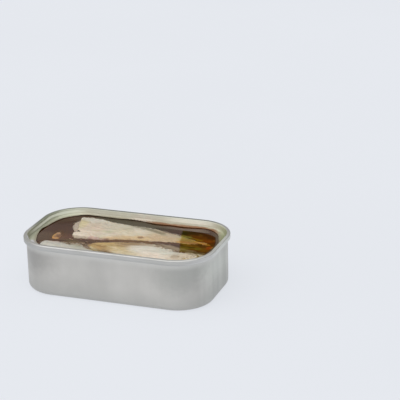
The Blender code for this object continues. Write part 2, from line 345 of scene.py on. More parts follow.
# Each fish by its edges along the length, seen from above and from the side, in millimetres.
REAR = {
    "back": Knots(
        (-35, 19), (-30, 21.6), (-23, 20.3), (-16, 18.8), (-11, 18.1), (-6, 17.9), (0, 17.6),
        (5, 16.7), (11, 15.4), (18, 13.5), (25, 11.4), (32, 9), (39, 6.4), (45, 4.4),
    ),
    "front": Knots(
        (-35, -7.2), (-27, -7.7), (-21, -6.9), (-14, -6.6), (-8.5, -4.7), (-2.5, -3), (5, -1.6),
        (9, -0.7), (15, -0.1), (23, 0.6), (32, 1.1), (38, 1.5), (45, 1.6),
    ),
    "top": Knots((-35, 26.9), (-26, 27), (-8, 26.8), (8, 26.3), (24, 25.6), (38, 25.1), (45, 24.8)),
    "under": Knots((-35, 13.5), (-20, 12), (0, 13.5), (20, 17), (38, 21.5), (45, 23.4)),
    "cut": Knots(
        (-8, 6.6), (-6.5, 5.1), (-4.5, 4), (-3.1, 3.6), (-2.2, 4.8), (-1.4, 7.2), (-0.5, 5.2), (0.4, 2.6),
        (2, 1.6), (5.5, -0.4), (8.8, -1.6), (13, -2), (17.7, -1), (20.5, 1.2),
    ),
    "start": -33 * MM,
    "end": 45 * MM,
    "round": 0.03,
    "grid": (300, 190),
    "seed": 100,
}
FRONT = {
    "back": Knots(
        (-17.2, -14.6), (-15.4, -12.4), (-13, -10.4), (-8, -8.2), (1, -5.8), (9, -4.3), (15, -4),
        (21, -5), (28, -8.6), (33, -10.4), (38, -9.8), (45, -11),
    ),
    "front": Knots(
        (-17.2, -15.2), (-14.6, -16.8), (-11.4, -18.6), (-6, -20.2), (0, -21.2), (6, -22.4),
        (14, -23.6), (28, -24), (38, -22), (45, -16.5),
    ),
    "top": Knots((-17.2, 25.3), (-8, 26), (8, 26.4), (24, 26.2), (38, 25.7), (45, 25.2)),
    "under": Knots((-17.2, 23), (-8, 19.5), (8, 14), (24, 12.5), (38, 13.5), (45, 16)),
    "start": 44.5 * MM,
    "end": -17 * MM,
    "round": 0.06,
    "grid": (260, 180),
    "lumps": 0.2 * MM,
    "seed": 200,
}
LEFT = {
    "back": Knots(
        (-43, -17.5), (-40.3, -15.2), (-37, -13.8), (-30, -14.1), (-23, -13.7), (-19, -14.4),
        (-16.8, -16), (-14.6, -18.2), (-11, -20), (-5, -21.8), (3, -23.4),
    ),
    "front": Knots((-43, -19.6), (-39, -21.9), (-30, -24.6), (-16, -24.9), (-8, -24.8), (3, -24.2)),
    "top": Knots((-43, 25), (-38, 25.8), (-28, 25.7), (-18, 25.6), (-10, 25.3), (-3, 25), (3, 24.5)),
    "under": Knots((-43, 15), (-36, 12.5), (-20, 13), (-8, 16.5), (3, 21)),
    "start": -41.2 * MM,
    "end": 2.6 * MM,
    "round": 0.06,
    "grid": (200, 150),
    "seed": 300,
}
SCRAP = {
    "back": Knots((-39, -5.4), (-37.8, -1.9), (-36, -2.6), (-34.2, -5.2), (-32.6, -8)),
    "front": Knots((-39, -9.6), (-37.6, -10.9), (-35, -11.2), (-33.6, -10.6), (-32.6, -9.6)),
    "top": Knots((-39.4, 25.2), (-37.6, 25.5), (-35, 25.1), (-32.4, 24.6)),
    "under": Knots((-39.4, 23.3), (-36, 22.6), (-32.4, 23.2)),
    "start": -38.8 * MM,
    "end": -32.9 * MM,
    "round": 0.3,
    "grid": (60, 60),
    "seed": 400,
}

# Creases as (x, y, x, y, width, depth) and pits as (x, y, half length, half width, turn, depth).
REAR["creases"] = (
    (-20, 5.5, -16, 4.4, 0.45, 0.3), (-16, 4.4, -13, 7.5, 0.45, 0.35), (-13, 7.5, -11, 10, 0.4, 0.2),
    (-22, 9, -17, 8, 0.5, 0.15),
    (-29.6, -1.2, -26.6, -1.0, 0.5, 0.9), (-26.6, -1.0, -21, -2.4, 0.5, 0.25),
    (-21, -2.5, -12, -4.5, 0.5, 0.25),
    (-4, -1.6, 4, 0.6, 0.35, 0.12), (14, 3.8, 30, 4.4, 0.5, 0.15), (30, 4.6, 40, 3.4, 0.4, 0.15),
)
REAR["pits"] = (
    (7.4, 0.9, 2.0, 0.4, 8, 0.4), (-18.4, -4.2, 0.6, 0.4, 0, 0.3), (-12.8, -5.2, 0.6, 0.4, 0, 0.3),
    (-20.4, -5.8, 0.8, 0.35, 0, 0.35), (-9.4, -4.4, 0.9, 0.35, 16, 0.35),
    (-4.6, -3.2, 0.6, 0.3, 12, 0.3), (2.2, -1.2, 0.8, 0.3, 10, 0.3),
)
FRONT["creases"] = (
    (-12, -13.5, 6, -12.5, 0.5, 0.25), (-8, -16.5, 12, -19.5, 0.5, 0.2), (2, -9.6, 16, -10.2, 0.5, 0.2),
    (16, -16.5, 30, -15, 0.4, 0.15), (33.4, -13, 35.2, -19, 0.6, 0.22), (36, -16, 42, -15, 0.5, 0.2),
    (38, -12, 40, -19, 0.5, 0.16),
)
FRONT["pits"] = ((-2, -21, 3.2, 0.6, -14, 0.3), (38.2, -18.6, 1.2, 0.5, 40, 0.3))
LEFT["creases"] = (
    (-24.4, -13.6, -26, -16.6, 0.8, 0.9), (-29, -15.6, -25, -14.8, 0.4, 0.25),
    (-22, -15, -15, -19, 0.5, 0.25), (-36, -17.5, -30, -19, 0.6, 0.15),
)
LEFT["pits"] = ((-27.2, -14.3, 0.8, 0.4, 0, 0.3),)
SCRAP["creases"] = ((-37.2, -9.4, -36.6, -4.6, 0.9, 0.35),)
SCRAP["pits"] = ()

# Where the cut end of the rear fish breaks down in a step, as a line x = at + slope * (from_y - y).
STEP_AT = -32.5 * MM
STEP_FROM = 17.3 * MM
STEP_SLOPE = 0.28
STEP_DEPTH = 1.5 * MM


def rear_step(points):
    """Share of the step down, 1 on the broken cut face and 0 on the fish's back."""
    line = STEP_AT + STEP_SLOPE * (STEP_FROM - points[:, 1]) + ripple(points, 1.7 * MM, 171) * 0.6 * MM
    return smooth_step(0, 0.9 * MM, line - points[:, 0]) * smooth_step(-1.1 * MM, -0.2 * MM, points[:, 1])


def front_lumps(points):
    """Loose broken flakes at the wide end of the front fish."""
    x, y, _ = points.T
    lumps = np.maximum(ripple(points, 2.6 * MM, 271), -0.3) + 0.5 * ripple(points, 1.3 * MM, 272)
    broken = smooth_step(29 * MM, 36 * MM, x)
    torn_side = smooth_step(12 * MM, 20 * MM, x) * smooth_step(-13 * MM, -9.5 * MM, y)
    return lumps * np.maximum(broken, 1.5 * torn_side)


def line_distance(points, x1, y1, x2, y2):
    """Plan distance of the points from a line between two places in millimetres."""
    a = np.array([x1, y1]) * MM
    b = np.array([x2, y2]) * MM
    t = np.clip((points[:, :2] - a) @ (b - a) / ((b - a) @ (b - a)), 0, 1)
    return np.linalg.norm(points[:, :2] - a - t[:, None] * (b - a), axis=1)


def flesh_relief(form, points, side):
    """Height of flakes, fibres, creases and pits over the even form, and the creases' depth."""
    seed = form["seed"]
    wander = layered(points, 9 * MM, seed, 3)
    slant = points[:, 0] + np.abs(side) * 6 * MM + wander * 1.6 * MM
    beat = slant / (3.3 * MM) % 1.0
    flakes = beat - smooth_step(0.82, 1.0, beat)
    flakes *= smooth_step(-0.35, 0.5, ripple(points, 6 * MM, seed + 7))
    fibres = ripple(points * [0.16, 1, 1], 0.75 * MM, seed + 11) * 0.5
    fibres += ripple(points * [0.3, 1, 1], 0.36 * MM, seed + 12) * 0.3
    height = wander * 0.30 * MM + flakes * 0.16 * MM + fibres * 0.09 * MM
    height += layered(points * [0.7, 1, 1], 2.4 * MM, seed + 15, 3) * 0.15 * MM
    height += layered(points, 4.6 * MM, seed + 41, 2) * 0.2 * MM
    crease = np.zeros(len(points))
    strayed = points + (ripple(points, 2.2 * MM, seed + 19) * 0.5 * MM)[:, None]
    for x1, y1, x2, y2, width, depth in form["creases"]:
        far = line_distance(strayed, x1, y1, x2, y2)
        crease = np.maximum(crease, depth * np.exp(-((far / (width * MM)) ** 2)))
    for x, y, half_long, half_wide, turn, depth in form["pits"]:
        c, s = math.cos(math.radians(turn)), math.sin(math.radians(turn))
        dx, dy = points[:, 0] / MM - x, points[:, 1] / MM - y
        far = np.hypot((dx * c + dy * s) / half_long, (dy * c - dx * s) / half_wide)
        crease = np.maximum(crease, depth * smooth_step(1.25, 0.5, far))
    return height - crease * MM, crease


def clear_side(points):
    """Share of the right end, where the oil shows clear amber instead of a milky sheen, partly as a painted
    reflection of warm orange surroundings.
    """
    plan = np.column_stack([points[:, :2], np.zeros(len(points))])
    across = plan[:, 0] * CLEAR_ALONG + plan[:, 1] * CLEAR_ACROSS + ripple(plan, 3 * MM, 31) * 0.3 * MM
    return smooth_step(CLEAR_FROM, CLEAR_FROM + 1.0 * MM, across)


def loft_fish(form):
    """Even form of a fish between its edges, and each point's share of length, side, rise and calm."""
    rows, around = form["grid"]
    s = np.arange(1, rows) / rows
    u = 0.3 * s + 0.7 * (1 - np.cos(np.pi * s)) / 2
    scale = np.ones(len(u))
    start_share = form["round"]
    tail_share = max(TAIL_SHARE, start_share)
    near, far = u < start_share, u > 1 - tail_share
    scale[near] *= (1 - ((start_share - u[near]) / start_share) ** 3) ** (1 / 3)
    scale[far] *= (1 - ((u[far] - 1 + tail_share) / tail_share) ** 2) ** 0.5
    x = form["start"] + (form["end"] - form["start"]) * u
    back, front, top, under = [form[edge].at(x) for edge in ("back", "front", "top", "under")]
    widest = np.minimum(OIL_LEVEL - SHOULDER_DEPTH, under + SHOULDER_SHARE * (top - under))
    level = np.clip((OIL_LEVEL - widest) / (top - widest), 0, 0.8)
    half_y = (back - front) / 2 / (1 - level**FLANK_POWER) ** (1 / FLANK_POWER)
    angle = 2 * np.pi * (np.arange(around) + 0.5) / around
    up = np.sin(angle)
    power = np.where(up > 0, 2 / FLANK_POWER, 2 / BELLY_POWER)
    side = np.sign(np.cos(angle)) * np.abs(np.cos(angle)) ** power
    lift = np.sign(up) * np.abs(up) ** power
    tall = np.where(up[None, :] > 0, (top - widest)[:, None], (widest - under)[:, None])
    y = ((back + front) / 2)[:, None] + side[None, :] * (half_y * scale)[:, None]
    z = widest[:, None] + lift[None, :] * tall * scale[:, None]
    points = np.stack([np.broadcast_to(x[:, None], y.shape), y, z], -1).reshape(-1, 3)
    calm = np.repeat(np.minimum(scale * half_y / (3 * MM), 1), around)
    sides, ups = np.tile(side, rows - 1), np.tile(np.maximum(up, 0), rows - 1)
    return points, np.repeat(u, around), sides, ups, calm


def make_fish(name, node, form, finish, ragged):
    """Lofts one fish, works flakes, creases and a torn end into it, and closes its ends."""
    seed = form["seed"]
    points, length_share, sides, ups, calm = loft_fish(form)
    stepped = "cut" in form
    if stepped:
        points[:, 0] += form["cut"].at(points[:, 1]) * (1 - length_share) ** 9
    height, crease = flesh_relief(form, points, sides)
    if stepped:
        height -= rear_step(points) * STEP_DEPTH
    if "lumps" in form:
        height += front_lumps(points) * form["lumps"]
    points[:, 2] += height * smooth_step(0.0, 0.35, ups) * calm
    fray = layered(points, 2.2 * MM, seed + 23, 3) * 0.32 * MM
    spread = np.clip(height, -0.5 * MM, 0.5 * MM) * 0.5 + fray * sides * smooth_step(-0.3, 0.2, ups)
    points[:, 1] += spread * np.sign(sides) * calm
    tear = layered(points * [0.3, 1, 1], 2.4 * MM, seed + 31, 3) * ragged
    points[:, 0] += tear * (1 - length_share) ** 30
    rows, around = form["grid"]
    first = points[:around].mean(0)
    last = points[-around:].mean(0)
    first[0] -= (points[around, 0] - points[0, 0]) * 0.3
    last[0] += (points[-1, 0] - points[-1 - around, 0]) * 0.3
    count = len(points)
    faces = hoop_faces(rows - 1, around, False)
    for k in range(around):
        n = (k + 1) % around
        faces.append((n, k, count))
        faces.append((count - around + k, count - around + n, count + 1))
    points = np.vstack([points, first, last])
    marks = {
        "crease": np.append(crease * (ups > 0), [0, 0]),
        "face": rear_step(points) if stepped else np.zeros(len(points)),
        # Where the lower flanks get painted shade.
        "flank_shade": np.append(smooth_step(0.66, 0.26, ups), [0.5, 0.5]),
        "clear": clear_side(points),
    }
    fish = mesh_piece(name, points, faces, finish, marks)
    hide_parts(node)
    return fish, points


# Oil and crumbs


def inside_lip(plan, shift_x=0.0, shift_y=0.0):
    """How far plan points lie inside the ledge's even edge, or inside that edge moved aside."""
    dx = np.abs(plan[:, 0] - shift_x) - (TIN_LENGTH / 2 - RIM_CORNER - LEDGE_EASE)
    dy = np.abs(plan[:, 1] - shift_y) - (TIN_WIDTH / 2 - RIM_CORNER - LEDGE_EASE)
    beyond = np.hypot(np.maximum(dx, 0), np.maximum(dy, 0)) + np.minimum(np.maximum(dx, dy), 0)
    return RIM_CORNER - LEDGE_INSET + LEDGE_EASE - beyond


def shore_distance(plan, fishes):
    """Plan distance from where the flesh comes out of the oil."""
    shore = []
    for points in fishes:
        near = points[np.abs(points[:, 2] - OIL_LEVEL) < 0.3 * MM]
        shore.extend(near[::2])
    tree = KDTree(len(shore))
    for i, p in enumerate(shore):
        tree.insert((p[0], p[1], 0.0), i)
    tree.balance()
    return np.array([tree.find((p[0], p[1], 0.0))[2] for p in plan])


def oil_top(rows=170, columns=300):
    """Plan points of the oil's surface in rows that reach into the wall."""
    y = (TIN_WIDTH / 2 - OIL_INTO_WALL) * np.sin(np.linspace(-1, 1, rows) * math.pi / 2)
    over = np.maximum(np.abs(y) - (TIN_WIDTH / 2 - RIM_CORNER), 0)
    corner = np.sqrt(np.maximum((RIM_CORNER - OIL_INTO_WALL) ** 2 - over**2, 0))
    half_long = TIN_LENGTH / 2 - RIM_CORNER + corner
    x = half_long[:, None] * np.linspace(-1, 1, columns)[None, :]
    plan = np.stack([x, np.broadcast_to(y[:, None], x.shape)], -1).reshape(-1, 2)
    return plan, np.arange(rows * columns).reshape(rows, columns)


def make_oil(finish, fishes):
    """Oil up to its level, creeping up where it meets flesh and ledge."""
    plan, index = oil_top()
    flat = np.column_stack([plan, np.zeros(len(plan))])
    to_flesh = shore_distance(plan, fishes)
    inside = inside_lip(plan)
    height = 0.32 * MM * np.exp(-to_flesh / (0.8 * MM))
    height += 0.26 * MM * np.exp(-np.abs(inside) / (0.9 * MM))
    height = np.minimum(height, OIL_CREEP) + ripple(flat, 14 * MM, 71) * 0.03 * MM
    top = np.column_stack([plan, OIL_LEVEL + height])
    rows, columns = index.shape
    faces = []
    for r in range(rows - 1):
        for c in range(columns - 1):
            faces.append((index[r, c], index[r, c + 1], index[r + 1, c + 1], index[r + 1, c]))
    loop = list(index[0, :]) + list(index[1:, -1]) + list(index[-1, -2::-1]) + list(index[-2:0:-1, 0])
    rim = top[loop] * [1, 1, 0]
    layers = [top]
    base = len(top)
    previous = loop
    for inset, z in ((0.0, BASE_RADIUS), (0.6 * MM, 1.4 * MM), (1.6 * MM, 0.75 * MM)):
        ring = rim * (1 - inset / np.linalg.norm(rim, axis=1))[:, None]
        ring[:, 2] = z
        layers.append(ring)
        current = list(range(base, base + len(loop)))
        for k in range(len(loop)):
            n = (k + 1) % len(loop)
            faces.append((previous[k], previous[n], current[n], current[k]))
        previous = current
        base += len(loop)
    faces.append(tuple(previous[::-1]))
    points = np.vstack(layers)
    open_view = smooth_step(-0.5 * MM, 0.5 * MM, inside_lip(plan, MIRROR_X, MIRROR_Y))
    open_view *= smooth_step(1.0 * MM, 2.0 * MM, inside - ledge_wander(flat))
    right_end = clear_side(plan)
    # Painted dark line along the edge of the lip's mirror image in the oil.
    mirror_edge_shade = open_view * (1 - open_view) * 4 * smooth_step(-7 * MM, -1 * MM, plan[:, 1])
    below = np.zeros(len(points) - len(top))
    marks = {
        "to_flesh": np.append(to_flesh / MM, below + 10),
        # Right end of the oil, where the amber is partly a painted reflection of warm orange surroundings.
        "clear": np.append(right_end * open_view, below),
        # Painted reflection of the lip and end wall in the oil at the right end.
        "ring": np.append(right_end * (1 - open_view), below),
        "mirror_edge_shade": np.append(right_end * mirror_edge_shade, below),
    }
    oil = mesh_piece("oil_pool", points, faces, finish, marks)
    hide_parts("oil")
    return oil


# Runs of loose crumbs as (x, y, x, y, spread, how many, largest half width).
CRUMB_RUNS = (
    (-22, -9, -14, -8.6, 0.9, 5, 0.34), (22, -8.6, 34, -12, 1.0, 14, 0.4),
    (34, -13, 44, -15.5, 2.2, 9, 0.42), (-30, -14, -19, -15.6, 0.9, 22, 0.45),
    (-24, -12, -17, -13, 0.8, 10, 0.34), (-30, -8, -24, -9.6, 0.9, 5, 0.34),
    (-16, -16, -12, -20, 0.8, 8, 0.36),
)


def make_crumbs(finish, surfaces):
    """Loose flakes of flesh lying on the oil and along the edges of the fish."""
    trees = []
    for piece in surfaces:
        bm = bmesh.new()
        bm.from_mesh(piece.data)
        trees.append(BVHTree.FromBMesh(bm))
        bm.free()
    ball = bmesh.new()
    bmesh.ops.create_icosphere(ball, subdivisions=2, radius=1.0)
    round_shape = np.array([v.co for v in ball.verts])
    ball_faces = [tuple(v.index for v in face.verts) for face in ball.faces]
    ball.free()
    draw = np.random.default_rng(515)
    points, faces = [], []
    for x1, y1, x2, y2, spread, count, largest in CRUMB_RUNS:
        for _ in range(count):
            t = draw.uniform(0, 1)
            x = (x1 + (x2 - x1) * t + draw.normal(0, spread)) * MM
            y = (y1 + (y2 - y1) * t + draw.normal(0, spread)) * MM
            above = Vector((x, y, TIN_HEIGHT + 12 * MM))
            hits = [tree.ray_cast(above, Vector((0, 0, -1)))[0] for tree in trees]
            ground = max(hit.z for hit in hits if hit)
            size = draw.uniform(0.45, 1.0) * largest * MM
            swell = 1 + 0.6 * ripple(round_shape, 0.8, 600 + len(points) % 997)
            shape = round_shape * swell[:, None] * size * [draw.uniform(0.9, 2.6), 1.0, 0.3]
            turn = draw.uniform(0, math.pi)
            c, s = math.cos(turn), math.sin(turn)
            long_way, wide_way, high_way = shape.T
            turned = np.column_stack([long_way * c - wide_way * s, long_way * s + wide_way * c, high_way])
            base = len(points)
            points.extend(turned + [x, y, ground + size * 0.12])
            faces.extend(tuple(base + corner for corner in face) for face in ball_faces)
    crumbs = mesh_piece("flesh_crumbs", points, faces, finish)


# Finishes


def linear(*colour):
    """Turns a colour given in everyday 0 to 255 values into the shader's linear ones."""
    out = []
    for value in colour:
        value /= 255
        out.append(value / 12.92 if value <= 0.04045 else ((value + 0.055) / 1.055) ** 2.4)
    return (*out, 1.0)


def feed(tree, target, value):
    """Links a socket to the target, or sets a plain value on it."""
    if isinstance(value, bpy.types.NodeSocket):
        tree.links.new(value, target)
    else:
        target.default_value = value


def add_node(tree, kind, inputs, **settings):
    """Adds a node with its settings, feeds its inputs and hands back its outputs."""
    made = tree.nodes.new("ShaderNode" + kind)
    for name, value in settings.items():
        setattr(made, name, value)
    for socket, value in inputs.items():
        feed(tree, made.inputs[socket], value)
    return made.outputs


class Finish:
    """A node material under construction."""

    def __init__(self, name):
        self.material = bpy.data.materials.new(name)
        self.material.use_nodes = True
        self.tree = self.material.node_tree
        self.shader = self.tree.nodes["Principled BSDF"]
        self.place = self.node("TexCoord", {})["Object"]

    def node(self, kind, inputs, **settings):
        return add_node(self.tree, kind, inputs, **settings)

    def axis(self, name):
        return self.node("SeparateXYZ", {0: self.place})[name]

    def number(self, kind, first, second=0.0, third=0.0, clamp=False):
        return self.node("Math", {0: first, 1: second, 2: third}, operation=kind, use_clamp=clamp)[0]

    def speckle(self, scale, detail=3.0, stretch=None):
        """Cloudy noise over the tin, drawn out where stretch is under one."""
        place = self.place
        if stretch:
            place = self.node("VectorMath", {0: place, 1: stretch}, operation="MULTIPLY")[0]
        inputs = {"Vector": place, "Scale": scale, "Detail": detail, "Roughness": 0.55}
        return self.node("TexNoise", inputs)["Fac"]

    def between(self, value, low, high, bottom=0.0, top=1.0):
        """Carries a value smoothly from low and high to bottom and top."""
        inputs = {"Value": value, "From Min": low, "From Max": high, "To Min": bottom, "To Max": top}
        return self.node("MapRange", inputs, interpolation_type="SMOOTHSTEP")["Result"]

    def blend(self, amount, under, over, kind="MIX"):
        inputs = {"Factor": amount, "A": under, "B": over}
        return self.node("Mix", inputs, data_type="RGBA", blend_type=kind, clamp_factor=True)["Result"]

    def over(self, base, mask, amount, colour, kind="MIX"):
        """Lays a share of an everyday colour over the base where the mask is."""
        return self.blend(self.number("MULTIPLY", mask, amount), base, linear(*colour), kind)

    def mark(self, name):
        return self.node("Attribute", {}, attribute_name=name)["Fac"]

    def group(self, tree, **values):
        inputs = {label.replace("_", " "): value for label, value in values.items()}
        return self.node("Group", inputs, node_tree=tree)

    def spot(self, x, y, half_long, half_wide, turn=0.0, fray=0.8, soft=0.4, z=0.0, half_high=1000):
        """A ragged oval patch over a place in plan, in millimetres."""
        out = self.group(
            patch_group(),
            Place=self.place,
            Centre=(x * MM, y * MM, z * MM),
            Reach=(half_long * MM, half_wide * MM, half_high * MM),
            Turn=math.radians(turn),
            Fray=fray * MM,
            Inner=1 - soft,
            Outer=1 + soft,
        )
        return out["Mask"]

    def patched(self, base, patches, fray=0.8, soft=0.4):
        """Lays patches of (x, y, half length, half width, turn, colour, share) over the base."""
        for x, y, half_long, half_wide, turn, colour, amount in patches:
            mask = self.spot(x, y, half_long, half_wide, turn, fray, soft)
            base = self.over(base, mask, amount, colour)
        return base

    def bump(self, height, distance, strength):
        return self.node("Bump", {"Height": height, "Distance": distance, "Strength": strength})["Normal"]

    def moisten(self, depth, coat_rough):
        """Lets light a little way into moist flesh."""
        self.set(Subsurface_Weight=0.12, Subsurface_Radius=(1.0, 0.6, 0.35), Subsurface_Scale=depth)
        self.set(Coat_Roughness=coat_rough)

    def set(self, **values):
        for socket, value in values.items():
            feed(self.tree, self.shader.inputs[socket.replace("_", " ")], value)
        return self.material


def new_group(name, inputs, outputs):
    """An empty node group, with what comes in and what it puts out."""
    tree = bpy.data.node_groups.new(name, "ShaderNodeTree")
    for label, value in inputs.items():
        kind = "NodeSocketVector" if isinstance(value, tuple) else "NodeSocketFloat"
        socket = tree.interface.new_socket(label, in_out="INPUT", socket_type=kind)
        socket.default_value = value
    for label in outputs:
        tree.interface.new_socket(label, in_out="OUTPUT", socket_type="NodeSocketFloat")
    enter = tree.nodes.new("NodeGroupInput")
    leave = tree.nodes.new("NodeGroupOutput")
    return tree, enter.outputs, leave.inputs


@cache
def patch_group():
    """Mask of one soft, frayed oval patch."""
    inputs = {"Place": (0, 0, 0), "Centre": (0, 0, 0), "Reach": (1, 1, 1), "Turn": 0.0, "Fray": 0.0}
    tree, given, made = new_group("frayed patch", inputs | {"Inner": 0.6, "Outer": 1.4}, ["Mask"])
    noise = add_node(tree, "TexNoise", {"Vector": given["Place"], "Scale": 420.0, "Detail": 3.0})
    centred = add_node(tree, "VectorMath", {0: noise["Color"], 1: (0.5, 0.5, 0.5)}, operation="SUBTRACT")
    stray = add_node(tree, "Math", {0: given["Fray"], 1: 3.0}, operation="MULTIPLY")
    scaled = add_node(tree, "VectorMath", {0: centred[0], "Scale": stray[0]}, operation="SCALE")
    moved = add_node(tree, "VectorMath", {0: given["Place"], 1: scaled[0]})
    away = add_node(tree, "VectorMath", {0: moved[0], 1: given["Centre"]}, operation="SUBTRACT")
    inputs = {"Vector": away[0], "Angle": given["Turn"]}
    turned = add_node(tree, "VectorRotate", inputs, rotation_type="Z_AXIS", invert=True)
    shares = add_node(tree, "VectorMath", {0: turned[0], 1: given["Reach"]}, operation="DIVIDE")
    far = add_node(tree, "VectorMath", {0: shares[0]}, operation="LENGTH")
    inputs = {"Value": far["Value"], "From Min": given["Outer"], "From Max": given["Inner"]}
    fade = add_node(tree, "MapRange", inputs, interpolation_type="SMOOTHSTEP")
    feed(tree, made["Mask"], fade["Result"])
    return tree


@cache
def sheet_group():
    """Rolling streaks and finger smudges of drawn sheet metal."""
    inputs = {"Place": (0, 0, 0), "Streak": (1, 1, 1), "Grain": 900.0, "Smudge": 60.0}
    tree, given, made = new_group("drawn sheet", inputs, ["Grain", "Smudge"])
    along = add_node(tree, "VectorMath", {0: given["Place"], 1: given["Streak"]}, operation="MULTIPLY")
    fine = add_node(tree, "TexNoise", {"Vector": along[0], "Scale": given["Grain"], "Detail": 4.0})
    broad = add_node(tree, "TexNoise", {"Vector": given["Place"], "Scale": given["Smudge"], "Detail": 3.0})
    feed(tree, made["Grain"], fine["Fac"])
    feed(tree, made["Smudge"], broad["Fac"])
    return tree


@cache
def flesh_group():
    """Mottling, fibres and fat flecks of cooked fish."""
    inputs = {"Place": (0, 0, 0), "Fibre Run": (0.2, 1, 1), "Mottle": 260.0, "Fibre": 1500.0}
    tree, given, made = new_group("cooked flesh", inputs, ["Mottle", "Fibre", "Fleck"])
    inputs = {"Vector": given["Place"], "Scale": given["Mottle"], "Detail": 5.0}
    mottle = add_node(tree, "TexNoise", inputs | {"Roughness": 0.6, "Distortion": 0.4})
    along = add_node(tree, "VectorMath", {0: given["Place"], 1: given["Fibre Run"]}, operation="MULTIPLY")
    fibre = add_node(tree, "TexNoise", {"Vector": along[0], "Scale": given["Fibre"], "Detail": 4.0})
    cells = add_node(tree, "TexVoronoi", {"Vector": given["Place"], "Scale": 900.0})
    inputs = {"Value": cells["Distance"], "From Min": 0.28, "From Max": 0.08}
    fleck = add_node(tree, "MapRange", inputs, interpolation_type="SMOOTHSTEP")
    feed(tree, made["Mottle"], mottle["Fac"])
    feed(tree, made["Fibre"], fibre["Fac"])
    feed(tree, made["Fleck"], fleck["Result"])
    return tree


# Painted light and shade on the can as (x, y, half length, half width, z, half height, colour, share): darker
# patches under the front corners, on the left end and low on the right end, lighter high on the right end.
CAN_LIGHT_AND_SHADE = (
    (-41, -27, 12, 8, 20.5, 8, (172, 170, 166), 0.85),
    (38.5, -27, 12, 8, 19.5, 9, (178, 178, 173), 0.9),
    (47, -20, 8, 8, 24, 5, (182, 183, 177), 0.6),
    (-50, 4, 6, 16, 18, 8, (186, 188, 182), 0.5),
    (52, -4, 5, 20, 18, 8, (220, 223, 215), 0.6),
    (52, -4, 5, 20, 5, 7, (192, 194, 188), 0.5),
)


def can_finish():
    f = Finish("satin_can")
    sheet = f.group(sheet_group(), Place=f.place, Streak=(1.0, 1.0, 0.05), Grain=210.0, Smudge=48.0)
    height = f.axis("Z")
    base = f.blend(f.between(sheet["Smudge"], 0.35, 0.68), linear(193, 191, 186), linear(205, 203, 198))
    ends = f.between(f.number("ABSOLUTE", f.axis("X")), 44 * MM, 51 * MM)
    streaks = f.number("MULTIPLY_ADD", ends, 0.5, 0.02)
    streaks = f.number("MULTIPLY", f.between(sheet["Grain"], 0.36, 0.66), streaks)
    base = f.blend(streaks, base, linear(170, 170, 165))
    base = f.blend(f.between(height, 11 * MM, 0.5 * MM, 0.0, 0.5), base, linear(176, 176, 172))
    # Painted light and shade patches on the can's walls.
    for x, y, half_long, half_wide, z, half_high, colour, amount in CAN_LIGHT_AND_SHADE:
        mask = f.spot(x, y, half_long, half_wide, 0, 2.0, 0.75, z, half_high)
        base = f.over(base, mask, amount, colour)
    # Painted light: the wall just under the seam is lightened to soften its shade.
    base = f.blend(f.between(height, 21.5 * MM, 25.2 * MM, 0.0, 0.7), base, linear(220, 219, 215))
    rough = f.between(sheet["Smudge"], 0.3, 0.7, 0.44, 0.54)
    rough = f.number("ADD", rough, f.between(sheet["Grain"], 0.2, 0.8, -0.03, 0.03))
    normal = f.bump(sheet["Grain"], 0.02 * MM, 0.25)
    return f.set(Base_Color=base, Roughness=rough, Metallic=0.85, Normal=normal)


